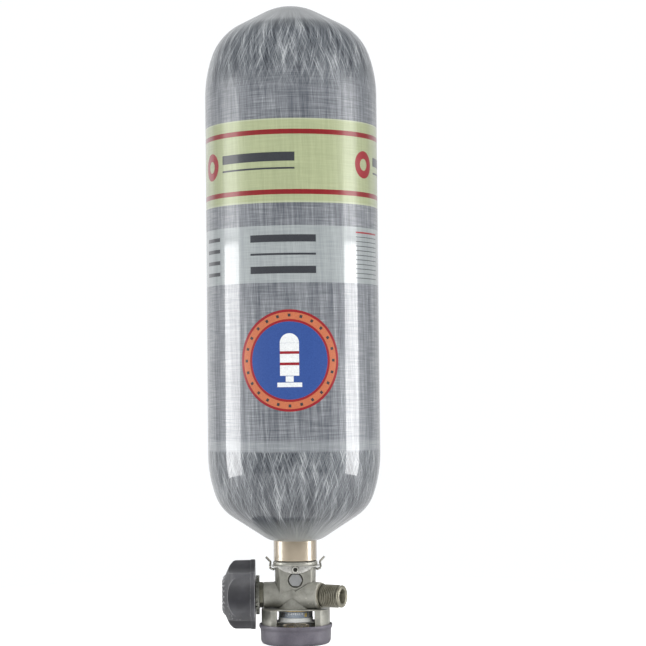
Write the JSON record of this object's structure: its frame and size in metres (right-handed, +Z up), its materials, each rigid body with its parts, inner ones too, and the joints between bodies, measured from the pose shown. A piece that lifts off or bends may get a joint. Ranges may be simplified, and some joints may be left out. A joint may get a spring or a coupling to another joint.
{
  "type": "breathing air cylinder",
  "caption": "Composite-wound breathing-air cylinder standing valve-down, with push-to-turn knob, threaded side outlet, relief plug and a bumper-guarded gauge.",
  "frame": {"origin": "on the cylinder's axis at the lowest plane of the rubber bumper", "axes": "+Z up the cylinder's axis to the closed dome, +X towards the outlet's side, -Y towards the relief plug and decal"},
  "size_m": [0.159, 0.159, 0.589],
  "materials": {
    "wrap": "glass fibre over carbon fibre in clear glossy resin",
    "carbon": "wound carbon fibre in epoxy",
    "liner_alloy": "clear-sealed aluminium, warm tan",
    "luminous_film": "pale luminous film with red stripes",
    "rating_film": "grey translucent film",
    "decal_film": "printed film",
    "valve_alloy": "satin forged, grey-olive anodised",
    "plated_steel": "bright stainless",
    "inner_steel": "turned stainless",
    "ratchet_steel": "pressed, dull",
    "relief_steel": "satin hexagon head",
    "brass": "turned brass",
    "dark_brass": "darkened brass thread",
    "seal": "nitrile",
    "seat_polymer": "nylon",
    "knob_rubber": "charcoal moulded rubber",
    "knob_plastic": "charcoal",
    "bumper_rubber": "charcoal moulded rubber",
    "clear": "clear polycarbonate",
    "dial_white": "printed white",
    "drum_print": "printed blue-grey drum",
    "needle_red": "painted"
  },
  "bodies": {
    "root": {"liner": "liner_alloy", "carbon_wrap": "carbon", "glass_wrap": "wrap", "luminous_band": "luminous_film", "rating_label": "rating_film", "round_decal": "decal_film", "valve_body": "valve_alloy", "neck_o_ring": "seal", "debris_tube": "inner_steel", "hanger_bracket": "plated_steel", "bracket_screw": "plated_steel", "spring_clip": "plated_steel", "bonnet_nut": "brass", "ratchet_ring": "ratchet_steel", "snap_ring": "plated_steel", "thrust_washer": "seat_polymer", "outlet_fitting": "dark_brass", "outlet_seal_ring": "seat_polymer", "relief_plug": "relief_steel", "burst_disc": "brass", "relief_gasket": "seat_polymer", "gauge_case": "brass", "gauge_o_ring": "seal", "gauge_lens": "clear", "dial_carrier": "dial_white", "gauge_dial": "dial_white", "bourdon_tube": "brass", "gauge_movement": "brass", "gauge_guard": "valve_alloy", "bumper": "bumper_rubber"},
    "spindle": {"spindle": "inner_steel", "spindle_o_ring": "seal", "knob_nut": "inner_steel", "knob_washer": "inner_steel"},
    "knob": {"knob_grip": "knob_rubber", "knob_hub": "knob_plastic", "knob_cap": "knob_plastic", "knob_spring": "inner_steel"},
    "plug": {"valve_plug": "brass", "soft_seat": "seat_polymer"},
    "pointer": {"gauge_arbor": "brass", "gauge_needle": "needle_red", "scale_drum": "drum_print"}
  },
  "joints": [
    {"name": "knob_turn", "type": "hinge", "parent": "root", "child": "spindle", "pos_m": [0, 0, 0.0445], "axis": [-1, 0, 0], "range_deg": [0, 900]},
    {"name": "knob_push", "type": "slide", "parent": "spindle", "child": "knob", "axis": [1, 0, 0], "range_m": [0, 0.002], "stiffness_N_per_m": 1500, "deforming": ["knob_spring"]},
    {"name": "plug_travel", "type": "slide", "parent": "spindle", "child": "plug", "axis": [-1, 0, 0], "range_m": [0, 0.00315]},
    {"name": "gauge_pointer", "type": "hinge", "parent": "root", "child": "pointer", "pos_m": [0, 0, 0.02], "axis": [0, 0, 1], "range_deg": [0, 270]}
  ],
  "couplings": [
    {"joint": "plug_travel", "follows": "knob_turn", "m_per_rad": 0.00019894}
  ]
}
